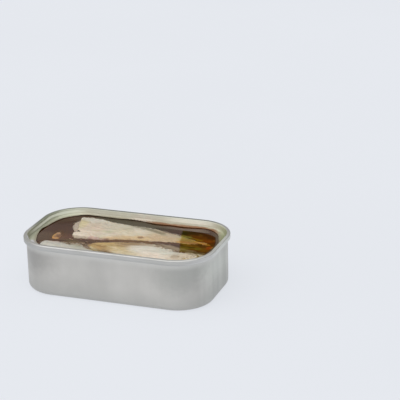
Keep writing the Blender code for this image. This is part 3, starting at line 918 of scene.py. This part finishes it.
def rim_finish():
    f = Finish("lacquered_rim")
    sheet = f.group(sheet_group(), Place=f.place, Streak=(1.0, 1.0, 0.5), Grain=650.0, Smudge=90.0)
    along, height = f.axis("X"), f.axis("Z")
    smudge = f.between(sheet["Smudge"], 0.35, 0.68)
    bare = f.blend(smudge, linear(204, 203, 201), linear(195, 195, 191))
    bare = f.over(bare, f.spot(-46, 14, 10, 18, -30, 1.0, 0.6), 0.8, (176, 181, 160))
    # Painted highlight on the seam's inner edge at the near right corner.
    bare = f.over(bare, f.spot(46, -12, 12, 16, -30, 1.0, 0.6), 0.8, (222, 222, 220))
    # Painted shade on the seam's outer face.
    bare = f.over(bare, f.mark("side"), 0.8, (190, 190, 187))
    # Painted light on the right end of the seam.
    bare = f.over(bare, f.spot(52, 2, 3, 14, 0, 0.6, 0.6), 0.8, (226, 228, 222))
    # Painted shade along the far side of the seam's crown.
    bare = f.over(bare, f.mark("shoulder"), 0.6, (96, 102, 92))
    cream = f.blend(smudge, linear(214, 212, 198), linear(208, 205, 186))
    # Painted shade on the inner left end of the lacquered wall.
    cream = f.over(cream, f.between(along, -34 * MM, -44 * MM), 0.8, (198, 201, 180))
    # Painted light on the steep left chuck wall, strongest on its upper part, which is also made less
    # metallic; darker where it turns over into the seam.
    steep = f.number("MULTIPLY", f.mark("chuck"), f.spot(-47.5, 8, 7.5, 20, -22, 1.0, 0.6))
    cream = f.over(cream, steep, 0.9, (242, 245, 226))
    # Painted shade, deepest at the far left end.
    cream = f.over(cream, f.between(along, -45.5 * MM, -49 * MM), 0.95, (166, 168, 146))
    lit_upper_chuck = f.number("MULTIPLY", steep, f.between(height, 25.6 * MM, 26.2 * MM))
    lit_upper_chuck = f.number("MULTIPLY", lit_upper_chuck, f.between(height, 27.5 * MM, 27.1 * MM))
    cream = f.blend(lit_upper_chuck, cream, linear(250, 254, 240))
    turned = f.number("MULTIPLY", steep, f.between(height, 27.0 * MM, 27.4 * MM))
    cream = f.over(cream, turned, 0.35, (140, 145, 125))
    cream = f.over(cream, f.spot(-27, 28.4, 12, 3, 0, 0.6, 0.6), 0.5, (206, 204, 188))
    far_right = f.number("MULTIPLY", f.mark("chuck"), f.spot(26, 28.4, 14, 2.6, 0, 0.6, 0.6))
    cream = f.over(cream, far_right, 0.9, (250, 248, 234))
    # Painted highlight on the inner wall at the near left end.
    cream = f.over(cream, f.spot(-45, -20, 3.6, 3.0, -40, 0.6), 0.9, (228, 228, 238))
    cream = f.over(cream, f.between(along, 38 * MM, 48 * MM), 0.8, (190, 194, 160))
    cream = f.over(cream, f.spot(50.5, 5, 3.2, 11, 8, 0.8, 0.7), 0.85, (136, 142, 94))
    cream = f.over(cream, f.spot(47.2, 12.5, 4, 8, 24, 0.8, 0.7), 0.7, (132, 138, 96))
    cream = f.over(cream, f.mark("score"), 0.3, (160, 156, 140))
    from_lip = f.mark("from_lip")
    ragged = f.number("MULTIPLY", f.speckle(420, 3.0, (0.6, 1.0, 1.0)), 3.0)
    ragged = f.number("SUBTRACT", from_lip, ragged)
    stain = f.number("MULTIPLY", f.spot(22, 24.4, 26, 4.6, -2, 1.2), f.between(ragged, 0.5, -0.9))
    # Painted shade along the far side of the crown, on the lacquered part.
    cream = f.over(cream, f.mark("shoulder"), 0.6, (128, 132, 114))
    cream = f.blend(f.between(from_lip, 1.5, 0.1, 0.0, 0.7), cream, linear(146, 136, 112))
    # Painted shade low on the far inner wall, just above the ledge.
    low = f.between(height, 25.95 * MM, 25.3 * MM)
    low = f.number("MULTIPLY", f.spot(2, 26.4, 38, 3.4, 0, 0.6, 0.3), low)
    cream = f.over(cream, low, 0.55, (150, 142, 120))
    cream = f.blend(f.between(from_lip, 0.2, 0.0, 0.0, 0.5), cream, linear(96, 74, 52))
    cream = f.over(cream, stain, 0.95, (146, 100, 66))
    # Painted shade on the torn lip's face and underside.
    cream = f.over(cream, f.mark("torn"), 0.85, (116, 100, 78))
    browned = f.number("MULTIPLY", f.mark("torn"), f.spot(28, 24, 22, 7, -6, 1.2, 0.5))
    cream = f.over(cream, browned, 0.85, (206, 146, 100))
    crust = f.between(sheet["Grain"], 0.38, 0.56)
    crust = f.number("MULTIPLY", f.spot(-2, 26.2, 6.5, 2.2, 0, 1.0), crust)
    cream = f.over(cream, crust, 0.8, (210, 200, 186))
    lacquer = f.mark("lacquer")
    base = f.blend(lacquer, bare, cream)
    rough = f.between(sheet["Smudge"], 0.3, 0.7, 0.42, 0.54)
    rough = f.number("ADD", rough, f.number("MULTIPLY", lacquer, -0.04))
    metal = f.number("MULTIPLY_ADD", lacquer, -0.65, 0.88)
    metal = f.number("MULTIPLY_ADD", lit_upper_chuck, -0.23, metal, clamp=True)
    normal = f.bump(sheet["Grain"], 0.02 * MM, 0.3)
    return f.set(Base_Color=base, Roughness=rough, Metallic=metal, Normal=normal)


# The other patches as (x, y, half length, half width, turn, colour, share).
OIL_PATCHES = (
    (-31, -6, 3.4, 4.6, -20, (104, 66, 48), 0.6),
    (-36, -5, 4.2, 7.0, 10, (98, 66, 34), 0.5),
    (-32.4, 9, 2.4, 7, 8, (58, 42, 48), 0.5),
    (-43, -9, 5, 7, 0, (96, 76, 56), 0.6),
    (-26, -10.5, 6, 2.2, -8, (96, 78, 44), 0.6),
    (-25, -12.6, 4, 1.6, -4, (118, 100, 70), 0.7),
    (-19, -12.4, 3.6, 1.4, -14, (126, 106, 82), 0.75),
    (-17, -15.4, 3.4, 1.8, -20, (110, 90, 68), 0.8),
    (-14.8, -18.4, 3.4, 1.7, -42, (142, 124, 106), 0.9),
    (-9.6, -19.4, 4.6, 1.5, -8, (164, 148, 108), 0.9),
    (-4, -20.2, 4, 1.2, -10, (112, 90, 54), 0.8),
    (-12, -9.5, 10, 2.4, 8, (90, 62, 36), 0.6),
    (6, -3.6, 12, 2.0, 6, (112, 80, 44), 0.7),
    (21.5, -3.4, 5, 1.5, -16, (128, 108, 86), 0.85),
    (26.5, -5.2, 7, 2.4, -22, (150, 132, 108), 0.9),
)
# Amber at the right end of the oil: partly its own colour and the flesh under it, partly a painted reflection
# of warm orange surroundings.
AMBER_PATCHES = (
    (24.5, 17.5, 4.5, 4, -10, (42, 37, 0), 0.95),
    (31, 18, 5, 3, -15, (54, 34, 2), 0.9),
    (37.5, 16.5, 6, 3.2, -25, (62, 31, 2), 0.9),
    (43, 11, 3.2, 6, 0, (70, 34, 3), 0.9),
    (36, 12, 5, 2.4, -20, (88, 48, 2), 0.85),
    (41, 8, 3.5, 3, 0, (108, 54, 2), 0.85),
    (28, 11.6, 4.4, 1.6, -18, (122, 110, 42), 0.8),
    (35.6, 9, 3, 1.3, -20, (130, 94, 8), 0.8),
    (40.4, 4, 3.6, 1.0, -14, (172, 120, 26), 0.9),
    (31, 1.1, 5, 1.0, -8, (98, 72, 4), 0.9),
    (37, 0.1, 4, 1.1, -8, (94, 64, 4), 0.9),
    (32.4, -2.8, 4.4, 2.2, -6, (96, 80, 16), 0.8),
    (35.6, -1.8, 1.8, 1.4, 0, (60, 50, 2), 0.8),
    (39.6, -2.6, 2.6, 1.6, 0, (102, 90, 22), 0.7),
    (43.4, -3, 2.6, 2.4, 0, (100, 66, 8), 0.85),
    (44.6, 0.1, 1.3, 2.2, 0, (134, 54, 10), 0.7),
    (46.8, 0.6, 1.1, 2.0, 10, (148, 110, 42), 0.6),
    (32.6, -6.3, 4.4, 2.0, -14, (126, 108, 56), 0.85),
    (38.6, -7.8, 4, 2.0, -12, (132, 114, 80), 0.85),
    (45.4, -8.6, 3.0, 1.4, -28, (108, 92, 56), 0.85),
    (43.6, -11.0, 3.0, 1.5, -34, (188, 176, 148), 0.95),
    (40.6, -8.2, 2.6, 0.9, -24, (92, 76, 40), 0.8),
)


def oil_finish():
    f = Finish("amber_oil")
    f.set(Specular_IOR_Level=0.0, Coat_IOR=1.47, Coat_Roughness=0.04)
    cloud = f.between(f.speckle(120, 4.0), 0.3, 0.7)
    clear = f.mark("clear")
    base = f.blend(cloud, linear(64, 35, 16), linear(74, 43, 22))
    base = f.over(base, f.between(f.mark("to_flesh"), 1.6, 0.1), 0.35, (104, 66, 38))
    # Painted shade on the oil under the back ledge and at the left back corner, which also weakens the sheen
    # there.
    back_ledge_shade = f.spot(-6, 21, 23, 5.0, -6, 1.0)
    left_ledge_shade = f.spot(-37, 18.5, 12, 4, 44, 1.0, 0.5)
    base = f.over(base, back_ledge_shade, 0.9, (62, 55, 37))
    base = f.over(base, left_ledge_shade, 0.8, (74, 54, 40))
    base = f.patched(base, OIL_PATCHES, 1.0)
    # Painted reflection of the lip and end wall in the oil at the right end.
    ring = f.number("MULTIPLY", f.mark("ring"), f.spot(48, 6, 10, 16, 0, 0.4, 0.5))
    base = f.over(base, ring, 0.7, (90, 80, 58))
    amber = f.blend(cloud, linear(84, 46, 2), linear(70, 44, 2))
    amber = f.patched(amber, AMBER_PATCHES, 1.0, 0.5)
    swirl = f.speckle(430, 4.0, (0.45, 1.0, 1.0))
    amber = f.blend(f.between(swirl, 0.5, 0.36, 0.0, 0.4), amber, linear(36, 26, 0))
    amber = f.blend(f.between(swirl, 0.56, 0.72, 0.0, 0.25), amber, linear(150, 116, 36))
    # Painted dark line along the edge of the lip's mirror image.
    amber = f.over(amber, f.mark("mirror_edge_shade"), 0.7, (50, 30, 4))
    # The right end takes the amber, partly a painted reflection of warm orange surroundings.
    base = f.blend(clear, base, amber)
    coat = f.number("SUBTRACT", 1.0, f.number("MULTIPLY", clear, 0.93))
    coat = f.number("SUBTRACT", coat, f.number("MULTIPLY", back_ledge_shade, 0.3), clamp=True)
    coat = f.number("SUBTRACT", coat, f.number("MULTIPLY", left_ledge_shade, 0.6), clamp=True)
    return f.set(Base_Color=base, Roughness=0.35, Coat_Weight=coat)


def flesh_finish(name, pale, deep, patches, shine=0.3, steeped=25.1):
    """Cooked flesh in two tones; steeped is how high the clear oil colours it, in millimetres."""
    f = Finish(name)
    grain = f.group(flesh_group(), Place=f.place, Fibre_Run=(0.16, 1.0, 1.0), Mottle=240.0, Fibre=1300.0)
    height, clear = f.axis("Z"), f.mark("clear")
    base = f.blend(f.between(grain["Mottle"], 0.34, 0.66), linear(*pale), linear(*deep))
    tint = f.speckle(170, 3.0)
    base = f.blend(f.between(tint, 0.56, 0.72, 0.0, 0.4), base, linear(214, 184, 164))
    base = f.blend(f.between(tint, 0.46, 0.3, 0.0, 0.4), base, linear(196, 196, 164))
    base = f.patched(base, patches)
    base = f.over(base, f.mark("face"), 0.85, (176, 160, 144))
    base = f.blend(f.between(grain["Fibre"], 0.62, 0.36, 0.0, 0.2), base, linear(150, 124, 96), "MULTIPLY")
    base = f.over(base, grain["Fleck"], 0.22, (240, 236, 222))
    # Painted shade in the creases and pits, darker where they are deeper.
    base = f.blend(f.between(f.mark("crease"), 0.06, 0.5, 0.0, 0.5), base, linear(134, 104, 76))
    # Painted shade on the fish's lower flanks.
    base = f.over(base, f.mark("flank_shade"), 0.55, (176, 152, 122), "MULTIPLY")
    # Low on the flesh just above the oil: partly oil-darkened flesh, partly painted shade.
    wet_and_shaded = f.between(height, 25.0 * MM, 24.55 * MM)
    base = f.over(base, wet_and_shaded, 0.5, (150, 118, 78), "MULTIPLY")
    steep = f.between(height, (steeped + 0.3) * MM, steeped * MM)
    base = f.over(base, f.number("MULTIPLY", clear, steep), 0.95, (208, 184, 46), "MULTIPLY")
    rough = f.between(grain["Mottle"], 0.3, 0.7, 0.42, 0.58)
    relief = f.number("MULTIPLY", grain["Mottle"], 0.4)
    relief = f.number("ADD", f.number("MULTIPLY", grain["Fibre"], 0.6), relief)
    f.moisten(0.8 * MM, 0.25)
    coat = f.between(grain["Mottle"], 0.3, 0.7, shine, shine * 0.4)
    coat = f.number("MULTIPLY", coat, f.number("SUBTRACT", 1.0, clear))
    normal = f.bump(relief, 0.16 * MM, 0.6)
    return f.set(Base_Color=base, Roughness=rough, Coat_Weight=coat, Normal=normal)


def crumb_finish():
    f = Finish("crumb_flesh")
    grain = f.group(flesh_group(), Place=f.place, Fibre_Run=(1.0, 1.0, 1.0), Mottle=500.0, Fibre=2200.0)
    base = f.blend(f.between(grain["Mottle"], 0.35, 0.62), linear(164, 140, 112), linear(126, 98, 74))
    base = f.over(base, f.spot(-14, -7, 12, 3), 0.6, (146, 108, 88))
    base = f.over(base, f.spot(38, -14, 10, 6), 0.7, (186, 172, 148))
    rough = f.between(grain["Fibre"], 0.3, 0.7, 0.4, 0.55)
    f.moisten(0.5 * MM, 0.2)
    coat = f.between(grain["Mottle"], 0.3, 0.7, 0.25, 0.1)
    normal = f.bump(grain["Fibre"], 0.08 * MM, 0.5)
    return f.set(Base_Color=base, Roughness=rough, Coat_Weight=coat, Normal=normal)


REAR_PATCHES = (
    (-28, 8, 2.6, 6.5, 14, (208, 194, 150), 0.9),
    (-25, 16, 7, 4, 0, (208, 204, 192), 0.6),
    (-20, 4, 7, 6, 0, (212, 192, 170), 0.6),
    (-24, -3, 6, 3.4, 0, (220, 206, 186), 0.8),
    (-8, 10, 9, 7, -10, (206, 200, 178), 0.6),
    (-1, 4, 9, 4, -10, (212, 200, 172), 0.7),
    (3, 13, 8, 3, -14, (190, 184, 162), 0.7),
    (8, 11, 6, 2.6, -14, (180, 172, 148), 0.6),
    (12, 8, 7, 4, -12, (206, 192, 164), 0.6),
    (-3, -3.6, 9, 1.8, 8, (212, 180, 130), 0.75),
    (-16.6, -5.6, 2.6, 1.0, -10, (200, 164, 150), 0.75),
    (-13, -6, 3, 1.2, 0, (176, 146, 136), 0.7),
    (-22, -6.6, 6, 1.0, -2, (176, 160, 140), 0.7),
    (-9.6, -5.0, 1.8, 0.7, 16, (152, 116, 104), 0.8),
    (-18.6, -6.2, 1.3, 0.7, 0, (172, 136, 128), 0.8),
    (-5, -5, 4, 0.8, 14, (172, 128, 96), 0.6),
    (-11, 1.6, 3.4, 1.0, 12, (190, 186, 152), 0.7),
    (-17.4, 1.0, 2.4, 0.8, 10, (196, 184, 150), 0.6),
    (6, 0, 12, 2.2, 8, (202, 172, 124), 0.8),
    (22, 3.5, 12, 3.4, -2, (190, 166, 130), 0.9),
    (20, 10.6, 9, 3, -14, (176, 158, 128), 0.85),
    (35, 4.6, 8, 2.6, -6, (168, 148, 58), 0.95),
    (31, 9.0, 7, 2.2, -20, (160, 160, 88), 0.95),
    (40, 3.4, 5, 1.8, -10, (184, 134, 26), 0.95),
    (32, 2.4, 6, 1.0, -4, (176, 132, 52), 0.9),
    # Painted highlight streak on the tail.
    (37, 5.4, 4, 0.7, -12, (224, 184, 70), 0.7),
    (7.4, 1.1, 1.9, 0.5, 8, (136, 98, 62), 0.7),
    (7.8, -0.9, 2.6, 0.6, 8, (222, 196, 132), 0.7),
    # Painted shade in the notch of the broken end.
    (-28.2, -1.0, 2.0, 0.6, 0, (92, 74, 58), 0.85),
    (3, 9, 6, 2.0, -10, (214, 206, 188), 0.6),
    (-2, 8, 3, 2.2, 0, (186, 178, 150), 0.5),
    # Painted shade towards the rear fish's far edge, in the next four patches.
    (14, 14, 5, 1.4, -14, (168, 158, 128), 0.8),
    (8, 11.4, 9.5, 2.2, -20, (138, 130, 106), 0.9),
    (-18, 18.8, 10, 1.0, -9, (150, 140, 126), 0.7),
    (15, 8.6, 4, 1.6, -22, (142, 128, 98), 0.8),
    (14.6, 3.6, 3, 1.2, -6, (216, 190, 156), 0.4),
)
FRONT_PATCHES = (
    (-9, -14, 10, 6, -20, (178, 146, 88), 0.95),
    (0, -15, 9, 4, -10, (190, 164, 110), 0.9),
    (-6, -17, 6, 1.6, -24, (168, 130, 72), 0.7),
    (5, -9.6, 10, 3.4, -4, (152, 122, 84), 0.9),
    (-1, -10, 6, 2.2, 10, (166, 140, 98), 0.8),
    (16, -7.6, 7, 2.6, -4, (160, 138, 114), 0.75),
    (20, -10.6, 3.4, 1.0, -20, (168, 152, 128), 0.8),
    (14, -11.4, 2.6, 0.8, -8, (182, 164, 136), 0.7),
    (8, -19, 12, 3, -8, (204, 186, 142), 0.7),
    (-7, -12.6, 6, 0.7, 18, (206, 176, 112), 0.8),
    (-9, -15.4, 5, 0.7, -14, (150, 118, 66), 0.75),
    (0, -17.2, 5, 0.6, -20, (214, 196, 160), 0.7),
    (2, -14, 5, 0.6, -8, (160, 130, 82), 0.6),
    (18, -15, 11, 5, 0, (219, 213, 198), 0.9),
    (28, -14, 8, 5, 0, (206, 204, 188), 0.8),
    (24, -20.4, 11, 3, 0, (230, 216, 198), 0.9),
    (25, -8.4, 8, 1.8, -24, (158, 142, 120), 0.85),
    (37, -19, 7, 5, 0, (206, 190, 166), 0.9),
    (33, -18, 2, 2.4, 20, (176, 156, 128), 0.6),
    (41, -11.6, 6, 2.4, -8, (160, 146, 116), 0.9),
    (33, -10.6, 5, 1.6, -24, (176, 160, 136), 0.8),
    (17.4, -7.4, 1.5, 0.8, -10, (206, 194, 172), 0.8),
    (20.2, -8.2, 1.4, 0.7, -20, (122, 100, 76), 0.8),
    (22.6, -9.0, 1.4, 0.8, -24, (208, 196, 176), 0.85),
    (25.4, -9.6, 1.6, 0.7, -24, (124, 104, 82), 0.8),
    (28.0, -11.6, 1.5, 0.9, -24, (212, 200, 182), 0.85),
    (30.6, -11.8, 1.2, 0.7, -24, (140, 120, 96), 0.8),
    (23.4, -7.0, 1.2, 0.6, -20, (196, 182, 160), 0.8),
    (27.6, -9.0, 1.2, 0.6, -24, (188, 172, 150), 0.8),
    (-15.6, -13.6, 2, 1.6, 30, (140, 120, 64), 0.85),
    (-12, -18.4, 3.6, 0.9, -28, (204, 190, 146), 0.85),
    (-4, -20.4, 6, 1.2, -14, (126, 100, 62), 0.7),
    (-16, -15, 2.4, 3, 0, (150, 118, 78), 0.6),
)
LEFT_PATCHES = (
    (-36, -18, 7, 6, 0, (200, 196, 186), 0.8),
    (-33, -15.6, 4, 1.6, 0, (190, 174, 166), 0.8),
    (-27.6, -15.4, 3.8, 2.2, -6, (150, 138, 114), 0.85),
    # Painted shade in the left fish's notch.
    (-24.6, -16, 1.8, 2.6, 10, (102, 86, 64), 0.95),
    (-21, -17, 3.6, 1.8, -12, (160, 152, 130), 0.85),
    (-19, -20.6, 4, 2.4, -10, (172, 174, 152), 0.8),
    (-15, -21.4, 4, 1.6, -24, (186, 180, 168), 0.8),
    (-26, -22, 9, 3, 0, (200, 198, 186), 0.7),
)
SCRAP_PATCHES = (
    (-38.4, -8, 1.1, 3.8, 0, (204, 154, 76), 0.9),
    (-36, -10.8, 3, 0.9, 4, (198, 148, 76), 0.8),
    (-35, -7, 1.9, 3, 10, (120, 82, 48), 0.9),
    (-37.4, -2.6, 1.5, 1.8, 0, (204, 164, 122), 0.9),
)


# Building


make_can(can_finish())
make_rim(rim_finish())
pale_flesh = flesh_finish("pale_flesh", (216, 205, 186), (206, 194, 172), REAR_PATCHES, steeped=26.5)
golden_flesh = flesh_finish("golden_flesh", (210, 200, 180), (198, 184, 158), FRONT_PATCHES)
silver_flesh = flesh_finish("silver_flesh", (198, 194, 182), (188, 182, 168), LEFT_PATCHES)
amber_scrap = flesh_finish("amber_scrap", (170, 116, 66), (146, 96, 54), SCRAP_PATCHES, 0.5)
rear, rear_points = make_fish("flesh_rear", "fish_rear", REAR, pale_flesh, 0.55 * MM)
front, front_points = make_fish("flesh_front", "fish_front", FRONT, golden_flesh, 0.5 * MM)
left, left_points = make_fish("flesh_left", "fish_left", LEFT, silver_flesh, 0.3 * MM)
_, scrap_points = make_fish("flesh_scrap", "fish_scrap", SCRAP, amber_scrap, 0.3 * MM)
oil = make_oil(oil_finish(), (rear_points, front_points, left_points, scrap_points))
make_crumbs(crumb_finish(), (oil, rear, front, left))


# Floor, light and camera


def make_floor():
    """A pale backlit table top, so the tin stands in hardly any shadow."""
    bm = bmesh.new()
    bmesh.ops.create_grid(bm, x_segments=8, y_segments=8, size=4.0)
    mesh = bpy.data.meshes.new("studio_floor")
    bm.to_mesh(mesh)
    bm.free()
    floor = bpy.data.objects.new("studio_floor", mesh)
    bpy.context.scene.collection.objects.link(floor)
    f = Finish("floor_paper")
    base = f.blend(f.between(f.speckle(3.0), 0.3, 0.7), linear(111, 113, 116), linear(114, 116, 119))
    f.set(Specular_IOR_Level=0.0, Emission_Color=linear(229, 232, 238), Emission_Strength=0.8)
    mesh.materials.append(f.set(Base_Color=base, Roughness=0.9))


def make_light():
    """An overhead soft box in a dim room, with a broad lamp from the front left."""
    world = bpy.data.worlds.new("studio_air")
    bpy.context.scene.world = world
    world.use_nodes = True
    tree = world.node_tree
    way = add_node(tree, "TexCoord", {})["Generated"]
    climb = {"Value": add_node(tree, "SeparateXYZ", {0: way})["Z"], "From Min": 0.1, "From Max": 0.95}
    overhead = add_node(tree, "MapRange", climb, interpolation_type="SMOOTHSTEP")["Result"]
    shades = {"Factor": overhead, "A": (0.13, 0.12, 0.11, 1.0), "B": (0.88, 0.88, 0.88, 1.0)}
    glow = add_node(tree, "Mix", shades, data_type="RGBA")["Result"]
    feed(tree, tree.nodes["Background"].inputs["Color"], glow)
    lamp = bpy.data.lights.new("front_soft_box", "SUN")
    lamp.energy = 1.5
    lamp.angle = math.radians(100)
    box = bpy.data.objects.new("front_soft_box", lamp)
    box.rotation_euler = Vector((-0.16, -0.70, 0.69)).to_track_quat("Z", "Y").to_euler()
    bpy.context.scene.collection.objects.link(box)


def make_camera():
    """The photo's own viewpoint, worked out from the tin's outline."""
    turn, height, roll = (math.radians(a) for a in (CAMERA_TURN, CAMERA_HEIGHT, CAMERA_ROLL))
    away = Vector((math.sin(turn) * math.cos(height), -math.cos(turn) * math.cos(height), math.sin(height)))
    right = Vector((math.cos(turn), math.sin(turn), 0))
    up = away.cross(right)
    right, up = right * math.cos(roll) + up * math.sin(roll), up * math.cos(roll) - right * math.sin(roll)
    place = right * CAMERA_RIGHT * MM + up * CAMERA_UP * MM + away * CAMERA_AWAY * MM
    lens = bpy.data.cameras.new("view")
    lens.sensor_width = SENSOR_WIDTH
    lens.lens = LENS_PIXELS / PICTURE_PIXELS * SENSOR_WIDTH
    lens.clip_start = 0.01
    camera = bpy.data.objects.new("view", lens)
    rows = [(right[i], up[i], away[i], place[i]) for i in range(3)]
    camera.matrix_world = Matrix((*rows, (0, 0, 0, 1)))
    bpy.context.scene.collection.objects.link(camera)
    bpy.context.scene.camera = camera


make_floor()
make_light()
make_camera()
bpy.context.scene.view_settings.view_transform = "Standard"
